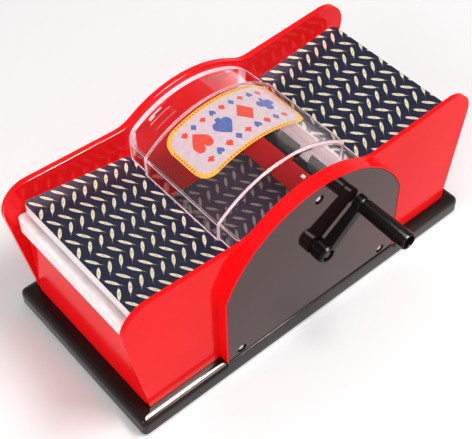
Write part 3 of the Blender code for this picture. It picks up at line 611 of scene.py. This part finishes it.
def make_shuffled_cards():
    """Loose bundles of cards lying in the well."""
    rng = random.Random(11)
    for number, shift in BUNDLE_SHIFT.items():
        node = f"shuffled_cards_{number}"
        low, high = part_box(node)
        bottom = low.z / MM
        count = int((high.z - low.z) / MM / BUNDLE_CARD)
        bm = bmesh.new()
        uv_layer = bm.loops.layers.uv.new("card_mm")
        for card in range(count):
            z = bottom + card * BUNDLE_CARD
            x = shift + rng.uniform(*LOOSE_SLIP) * math.copysign(1.0, shift)
            turn = math.radians(rng.uniform(*LOOSE_TURN))
            matrix = Matrix.Translation((x, rng.uniform(*LOOSE_STAGGER), z)) @ Matrix.Rotation(turn, 4, "Z")
            add_card(bm, uv_layer, matrix, BUNDLE_CARD * CARD_FILL, True, LOOSE_PRINT)
        name = f"loose_cards_{number}"
        # Their print is the darkened copy: painted shade of the well.
        bundle = new_piece(name, bm, (LOOSE_BACK_SHADED, CARD_PAPER), "shuffled_cards", 30.0)
        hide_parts(node)


make_shuffled_cards()


# ---------------------------------------------------------------- clear cover

DOME_Z = 38.5
COVER_STEP = 1.3               # the middle band stands this much proud of the two side bands
COVER_BAND = 28.6              # half width of the middle band
COVER_SKIN = 1.7
COVER_CORNER = 6.0
cover_low, cover_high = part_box("clear_cover")
COVER_RIM = cover_low.z / MM
COVER_RADIUS = cover_high.z / MM - DOME_Z - COVER_STEP
COVER_HALF_LENGTH = cover_high.x / MM - COVER_STEP
COVER_HALF_WIDTH = (cover_high.y - cover_low.y) / 2 / MM
SHOULDER_ROUND = 2.4
STEP_HIGHLIGHT = (-0.3, 0.5)        # the part of the step, in Y past the middle band, painted pale as a highlight
STEP_LINE = (                  # Y past the middle band, and how much of the step's height is there
    (1.3, 0.0), (1.0, 0.0), (0.7, 0.03), (0.4, 0.18), (0.1, 0.42),
    (-0.2, 0.70), (-0.5, 0.91), (-0.8, 0.99), (-1.1, 1.0), (-1.4, 1.0),
)


def cover_line(lift, half_length):
    """Cover section at one Y as (x, z) points, and which of them lie on the rounded shoulders."""
    radius = COVER_RADIUS + lift
    half = half_length + lift
    shoulder = Vector((half, DOME_Z + math.sqrt(radius ** 2 - half ** 2)))
    down = Vector((0.0, -1.0))
    uphill = Vector((-(shoulder.y - DOME_Z), half)).normalized()
    half_angle = down.angle(uphill) / 2
    centre = shoulder + (down + uphill).normalized() * SHOULDER_ROUND / math.sin(half_angle)
    first = shoulder + down * SHOULDER_ROUND / math.tan(half_angle) - centre
    last = shoulder + uphill * SHOULDER_ROUND / math.tan(half_angle) - centre
    start = math.atan2(first.y, first.x)
    end = math.atan2(last.y, last.x)
    steps = 6
    right = [(half, COVER_RIM), (half, COVER_RIM + 1.0), (half, centre.y - 0.4)]
    flat = len(right)
    for step in range(steps + 1):
        angle = start + (end - start) * step / steps
        x = centre.x + SHOULDER_ROUND * math.cos(angle)
        z = centre.y + SHOULDER_ROUND * math.sin(angle)
        right.append((x, z))
    crown_start = math.atan2(right[-1][1] - DOME_Z, right[-1][0])
    crown_steps = 26
    for step in range(1, crown_steps + 1):
        angle = crown_start + (math.pi / 2 - crown_start) * step / crown_steps
        right.append((radius * math.cos(angle), DOME_Z + radius * math.sin(angle)))
    left = [(-x, z) for x, z in reversed(right[:-1])]
    return right + left, range(flat, flat + steps)


def make_cover():
    """Clear domed cover with a raised middle band; its steps, shoulders and rim are painted pale as
    highlights.
    """
    stations = []
    corner_steps = 8
    for step in range(corner_steps + 1):
        angle = math.pi / 2 * (1 - step / corner_steps)
        y = COVER_HALF_WIDTH - COVER_CORNER * (1 - math.sin(angle))
        stations.append((y, 0.0, COVER_HALF_LENGTH - COVER_CORNER * (1 - math.cos(angle)), False))
    for offset, share in STEP_LINE:
        lit = STEP_HIGHLIGHT[0] < offset < STEP_HIGHLIGHT[1]
        stations.append((COVER_BAND + offset, COVER_STEP * share, COVER_HALF_LENGTH, lit))
    mirror = [(-y, lift, half, False) for y, lift, half, _ in reversed(stations)]
    highlight_rows = {index for index, station in enumerate(stations) if station[3]}
    total = len(stations) + len(mirror)
    highlight_rows |= {total - 2 - index for index in highlight_rows}
    rear_end = set(range(4))
    rear_step_top = {len(stations) - 4, len(stations) - 3}
    highlight_rows |= rear_end | rear_step_top
    bm = bmesh.new()
    rows = []
    for y, lift, half, _ in stations + mirror:
        line, shoulder = cover_line(lift, half)
        rows.append([bm.verts.new((x, y, z)) for x, z in line])
    length = len(rows[0])
    right_shoulder = set(shoulder[2:-2])
    shoulder_faces = right_shoulder | {length - 2 - index for index in right_shoulder}
    for number, (first, second) in enumerate(zip(rows, rows[1:])):
        for step in range(length - 1):
            face = bm.faces.new((first[step], second[step], second[step + 1], first[step + 1]))
            # Rows at the rear end and step edges, and the shoulder faces, take the pale edge material:
            # painted highlight.
            face.material_index = 1 if number in highlight_rows or step in shoulder_faces else 0
    cover = new_piece("cover_shell", bm, (CLEAR, CLEAR_EDGE_HIGHLIGHT), "cover", 60.0)
    shell = cover.modifiers.new("shell", "SOLIDIFY")
    shell.thickness = COVER_SKIN * MM
    shell.offset = 1.0         # the drawn surface is the outside, and the skin goes inward from it
    shell.use_even_offset = True
    # The skin's cut rim takes the pale edge material too: painted highlight.
    shell.material_offset_rim = 1
    cover.visible_shadow = False
    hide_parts("clear_cover")


make_cover()


# ---------------------------------------------------------------- moulded marks on the cover

BAR_ROOT = 0.3                 # how deep a moulded bar reaches into the cover
BAR_DRAFT = 0.12               # how much each side of a bar leans in
OUTLINE_LINE = 0.35            # width of the outline's lines, in mm and in degrees round the arch
OUTLINE_HEIGHT = 0.12
OUTLINE_SPAN = (105.5, 119.0)  # angles where its long lines start and end
OUTLINE_LONG_Y = (38.2, 33.6)
OUTLINE_SHORT_AT = (105.5, 118.7)
OUTLINE_MIDDLE_Y = 35.9
OUTLINE_SHORT_LENGTH = 4.6
SNAP_TABS = (                  # start and end angle round the arch, y, width, height
    (109.0, 116.5, 41.0, 0.8, 0.4),
    (64.5, 68.0, 40.8, 1.1, 0.4),
    (89.0, 90.6, -42.0, 2.2, 0.4),
    (114.0, 117.5, 40.4, 1.4, 0.5),
)


def on_arch(angle, y, lift):
    """A point above a side band's surface, at an angle round the arch."""
    radius = COVER_RADIUS + lift
    return radius * math.cos(angle), y, DOME_Z + radius * math.sin(angle)


def arch_bar(bm, start, end, y, width, height):
    """A low moulded bar on a side band, from one angle on the arch to another."""
    steps = 8
    half = width / 2
    profile = ((-half, -BAR_ROOT), (half, -BAR_ROOT), (half - BAR_DRAFT, height), (BAR_DRAFT - half, height))
    rings = []
    for step in range(steps + 1):
        share = step / steps
        angle = math.radians(start + (end - start) * share)
        rings.append([bm.verts.new(on_arch(angle, y + side, lift)) for side, lift in profile])
    for first, second in zip(rings, rings[1:]):
        join_loops(bm, first, second)
    bm.faces.new(list(reversed(rings[0])))
    bm.faces.new(rings[-1])


def make_cover_marks():
    """Snap tabs by the ends of the cover, and the thin moulded outline on its rear band."""
    bm = bmesh.new()
    for start, end, y, width, height in SNAP_TABS:
        arch_bar(bm, start, end, y, width, height)
    bmesh.ops.recalc_face_normals(bm, faces=bm.faces)
    # The snap tabs are made in the pale edge material: painted highlight.
    new_piece("cover_snap_tabs", bm, (CLEAR_EDGE_HIGHLIGHT,), "cover", 40.0)
    bm = bmesh.new()
    for y in OUTLINE_LONG_Y:
        arch_bar(bm, *OUTLINE_SPAN, y, OUTLINE_LINE, OUTLINE_HEIGHT)
    for angle in OUTLINE_SHORT_AT:
        end = angle + OUTLINE_LINE
        arch_bar(bm, angle, end, OUTLINE_MIDDLE_Y, OUTLINE_SHORT_LENGTH, OUTLINE_HEIGHT)
    bmesh.ops.recalc_face_normals(bm, faces=bm.faces)
    new_piece("cover_moulded_outline", bm, (CLEAR,), "cover", 40.0)


make_cover_marks()


# ---------------------------------------------------------------- printed label on the cover

LABEL_RADIUS = COVER_RADIUS + COVER_STEP


def on_cover(s, y, lift):
    """A point on the middle band: s runs round the arch from its crown towards +X."""
    angle = math.pi / 2 - s / LABEL_RADIUS
    radius = LABEL_RADIUS + lift
    return radius * math.cos(angle), y, DOME_Z + radius * math.sin(angle)


def print_shape(bm, centre, half_width, edges, lift, material_index, steps=24):
    """Print a shape given by its lower and upper edge at each place across its width."""
    previous = None
    for step in range(steps + 1):
        across = -half_width + 2 * half_width * step / steps
        low, high = edges(across)
        pair = [bm.verts.new(on_cover(centre[0] + across, centre[1] + y, lift)) for y in (low, high)]
        if previous:
            bm.faces.new((previous[0], pair[0], pair[1], previous[1])).material_index = material_index
        previous = pair


def rounded_bar(half_width, half_height, radius):
    def edges(across):
        beyond = max(0.0, abs(across) - (half_width - radius))
        height = half_height - radius + math.sqrt(max(radius ** 2 - beyond ** 2, 0.0))
        return -height, height
    return edges


def diamond(size):
    def edges(across):
        height = size * 1.25 * (1 - abs(across) / size)
        return -height, height
    return edges


def heart(size):
    """Its point is towards +Y."""
    def edges(across):
        share = min(abs(across) / size, 1.0)
        top = size * (0.35 + 0.65 * math.sqrt(max(0.25 - (share - 0.5) ** 2, 0.0)) / 0.5)
        point = size * 1.1 * (1 - share) ** 0.85 + 0.25 * size * math.sqrt(max(1 - share, 0.0))
        return -top * (1.0 if share < 1 else 0.3), point
    return edges


def spade(size):
    """Its point is towards -Y and its stem towards +Y."""
    def edges(across):
        share = min(abs(across) / size, 1.0)
        point = size * 1.15 * (1 - share) ** 0.85 + 0.2 * size * math.sqrt(max(1 - share, 0.0))
        lobes = size * (0.15 + 0.55 * math.sqrt(max(0.25 - (share - 0.5) ** 2, 0.0)) / 0.5)
        stem = size * 1.05 if share < 0.24 else 0.0
        return -point, max(lobes, stem)
    return edges


def club(size):
    """Three round leaves and a stem towards +Y."""
    def edges(across):
        share = min(abs(across) / size, 1.0)
        leaf = 0.46
        side = math.sqrt(max(leaf ** 2 - (share - 0.54) ** 2, 0.0))
        crown = math.sqrt(max(leaf ** 2 - share ** 2, 0.0))
        top = max(side - 0.15, crown + 0.55 if share < leaf else side - 0.15)
        bottom = max(side + 0.15, 1.0 if share < 0.22 else 0.0)
        return -size * max(top, 0.0), size * bottom
    return edges


def printed(name, color, faded):
    """Screen print: slightly uneven ink."""
    t = Tree(name)
    where = t.position()
    patch = t.noise(where, 420.0, 4.0, 0.6)
    t.set(Base_Color=t.mix(t.ramp(patch, 0.3, 0.65, 0.0, 1.0), faded, color))
    t.set(Roughness=t.ramp(patch, 0.3, 0.7, 0.18, 0.3))
    t.shader.inputs["Coat Weight"].default_value = 0.4
    return t.material


LABEL_CENTRE = (0.5, 7.0)
LABEL_HALF = (35.0, 18.0)
LABEL_BORDER = 2.2
LABEL_CORNER = 9.0
PANEL_CORNER = 7.5
LABEL_PANEL, LABEL_AMBER, LABEL_RED, LABEL_BLUE, LABEL_BEAD = range(5)     # the label's inks
INK_LIFTS = (0.05, 0.09, 0.12)             # border, panel and marks, each printed over the last
BEAD = 0.42                    # half size of a bead on the border
BEAD_CORNER = 0.3
BEAD_STEP = 1.9
BEADS_LONG, BEADS_SHORT = 13, 4            # beads each side of the middle, on the long and short borders
BIG_MARK = 5.2                 # half size of the four big suit marks
BIG_MARK_Y = 1.0
BIG_STEP = 14.0
SMALL_ROWS = ((10.6, 1.7, 1), (-9.8, 1.9, 3))              # y, half size and first suit of a row
SMALL_STEP = 6.0
SUITS = (heart, spade, diamond, club)


def make_label():
    """A plain card-suit label: pale panel, beaded amber border, red and blue suit marks."""
    inks = (
        printed("label_panel", rgb(0.70, 0.54, 0.58), rgb(0.62, 0.46, 0.50)),
        printed("label_amber", rgb(0.93, 0.50, 0.07), rgb(0.90, 0.40, 0.05)),
        printed("label_red", rgb(0.82, 0.05, 0.025), rgb(0.74, 0.09, 0.05)),
        printed("label_blue", rgb(0.08, 0.12, 0.36), rgb(0.13, 0.17, 0.42)),
        printed("label_bead", rgb(0.30, 0.10, 0.03), rgb(0.40, 0.16, 0.05)),
    )
    bm = bmesh.new()
    half_s, half_y = LABEL_HALF
    panel_s, panel_y = half_s - LABEL_BORDER, half_y - LABEL_BORDER
    border_lift, panel_lift, mark_lift = INK_LIFTS
    border = rounded_bar(half_s, half_y, LABEL_CORNER)
    panel = rounded_bar(panel_s, panel_y, PANEL_CORNER)
    print_shape(bm, LABEL_CENTRE, half_s, border, border_lift, LABEL_AMBER, 72)
    print_shape(bm, LABEL_CENTRE, panel_s, panel, panel_lift, LABEL_PANEL, 72)
    middle_s, middle_y = LABEL_CENTRE
    bead_s = half_s - LABEL_BORDER / 2
    bead_y = half_y - LABEL_BORDER / 2
    spots = []
    for number in range(-BEADS_LONG, BEADS_LONG + 1):
        spots += [(middle_s + number * BEAD_STEP, middle_y + side * bead_y) for side in (-1, 1)]
    for number in range(-BEADS_SHORT, BEADS_SHORT + 1):
        spots += [(middle_s + side * bead_s, middle_y + number * BEAD_STEP) for side in (-1, 1)]
    for spot in spots:
        print_shape(bm, spot, BEAD, rounded_bar(BEAD, BEAD, BEAD_CORNER), mark_lift, LABEL_BEAD, 4)
    inks_in_turn = (LABEL_RED, LABEL_BLUE)
    for number in range(4):
        spot = (middle_s + (number - 1.5) * BIG_STEP, middle_y + BIG_MARK_Y)
        shape = SUITS[number](BIG_MARK)
        print_shape(bm, spot, BIG_MARK, shape, mark_lift, inks_in_turn[number % 2], 26)
    for row_y, size, first_suit in SMALL_ROWS:
        for number in range(9):
            spot = (middle_s + (number - 4) * SMALL_STEP, middle_y + row_y)
            shape = SUITS[(number + first_suit) % 4](size)
            print_shape(bm, spot, size, shape, mark_lift, inks_in_turn[number % 2], 12)
    bmesh.ops.recalc_face_normals(bm, faces=bm.faces)
    new_piece("suit_label", bm, inks, "cover", 60.0)


make_label()


# ---------------------------------------------------------------- floor, lights, camera and size
# Lengths from here on are metres in the frame.

FLOOR_HALF = 6.0
OVERHEAD_STRENGTH = 0.42       # of the world's light, against 1 at the horizon
FADE_END = 0.75                # sine of the elevation where it is reached
STUDIO_WHITE = rgb(1.0, 0.985, 0.98)


def make_floor():
    mesh = bpy.data.meshes.new("studio_floor")
    bm = bmesh.new()
    bmesh.ops.create_grid(bm, x_segments=1, y_segments=1, size=FLOOR_HALF)
    bm.to_mesh(mesh)
    bm.free()
    t = Tree("studio_floor")
    t.set(Base_Color=rgb(0.90, 0.90, 0.90), Roughness=0.6)
    mesh.materials.append(t.material)
    floor = bpy.data.objects.new("studio_floor", mesh)
    bpy.context.scene.collection.objects.link(floor)


def area_light(name, location, target, size, power, size_y=None):
    data = bpy.data.lights.new(name, "AREA")
    data.shape = "RECTANGLE"
    data.size = size
    data.size_y = size_y or size
    data.energy = power
    light = bpy.data.objects.new(name, data)
    light.location = location
    light.rotation_mode = "QUATERNION"
    light.rotation_quaternion = (Vector(target) - Vector(location)).to_track_quat("-Z", "Y")
    light.visible_camera = False
    bpy.context.scene.collection.objects.link(light)
    return light


def reflection_group(name, *members):
    group = bpy.data.collections.new(name)
    for member in members:
        group.objects.link(bpy.data.objects[member])
    return group


def reflect_only(light, group):
    """Let a light show only as a reflection on the pieces of a group."""
    light.visible_diffuse = False
    light.light_linking.receiver_collection = group


def make_world():
    """A pale studio: bright round the horizon, dimmer overhead."""
    world = bpy.data.worlds.new("studio")
    bpy.context.scene.world = world
    world.use_nodes = True
    tree = world.node_tree
    background = tree.nodes["Background"]
    direction = tree.nodes.new("ShaderNodeTexCoord")
    split = tree.nodes.new("ShaderNodeSeparateXYZ")
    tree.links.new(direction.outputs["Generated"], split.inputs[0])
    fade = tree.nodes.new("ShaderNodeMapRange")
    fade.inputs["From Min"].default_value = 0.0
    fade.inputs["From Max"].default_value = FADE_END
    fade.inputs["To Min"].default_value = 1.0
    fade.inputs["To Max"].default_value = OVERHEAD_STRENGTH
    tree.links.new(split.outputs[2], fade.inputs["Value"])
    tree.links.new(fade.outputs["Result"], background.inputs["Strength"])
    background.inputs["Color"].default_value = STUDIO_WHITE


CAMERA_ANGLES = (-39.255, 49.736, -1.435)  # azimuth, elevation and roll in degrees
CAMERA_PLACE = (-240.96, -287.00, 472.21)  # in millimetres about the base's middle
CAMERA_LENS = 83.17


def make_camera():
    azimuth, elevation, roll = (math.radians(angle) for angle in CAMERA_ANGLES)
    back = Vector((
        math.sin(azimuth) * math.cos(elevation),
        -math.cos(azimuth) * math.cos(elevation),
        math.sin(elevation),
    ))
    level = Vector((math.cos(azimuth), math.sin(azimuth), 0.0))
    up = back.cross(level)
    right = level * math.cos(roll) + up * math.sin(roll)
    top = up * math.cos(roll) - level * math.sin(roll)
    data = bpy.data.cameras.new("photo_camera")
    data.sensor_width = 36.0
    data.lens = CAMERA_LENS
    data.clip_start = 0.01
    camera = bpy.data.objects.new("photo_camera", data)
    camera.rotation_mode = "QUATERNION"
    camera.rotation_quaternion = Matrix((right, top, back)).transposed().to_quaternion()
    camera.location = place(*CAMERA_PLACE)
    bpy.context.scene.collection.objects.link(camera)
    bpy.context.scene.camera = camera


make_floor()
make_world()

OBJECT_MIDDLE = (0.0, 0.0, 0.05)
STRIP_PLACE = (0.06, -0.13, 0.42)
BELOW_STRIP = (0.06, -0.13, 0.0)
area_light("overhead_softbox", (0.35, -0.45, 1.1), OBJECT_MIDDLE, size=0.5, power=9.0, size_y=0.25)
# The strips and the right softbox are there for their reflections: each reaches only the named pieces.
strip = area_light("strip_softbox", STRIP_PLACE, BELOW_STRIP, size=0.20, power=20.0, size_y=0.40)
rim = area_light("rim_strip", STRIP_PLACE, BELOW_STRIP, size=0.20, power=65.0, size_y=0.40)
front = area_light("front_strip", (0.30, -0.72, 0.45), (0.0, -0.05, 0.02), size=0.45, power=6.0, size_y=0.12)
opaque_shell = reflection_group("opaque_shell", "base_shell", "front_wall", "crank_arm", "crank_knob")
reflect_only(strip, opaque_shell)
reflect_only(rim, reflection_group("far_rim", "rear_wall"))
reflect_only(front, opaque_shell)
area_light("left_softbox", (-1.0, -0.3, 0.6), OBJECT_MIDDLE, size=0.6, power=5.0)
haze = area_light("right_softbox", (0.78, 0.48, 0.36), (0.02, 0.0, 0.08), size=0.7, power=1.5, size_y=0.6)
reflect_only(haze, reflection_group("clear_shell", "cover_shell"))
make_camera()

bpy.context.scene.view_settings.view_transform = "Standard"
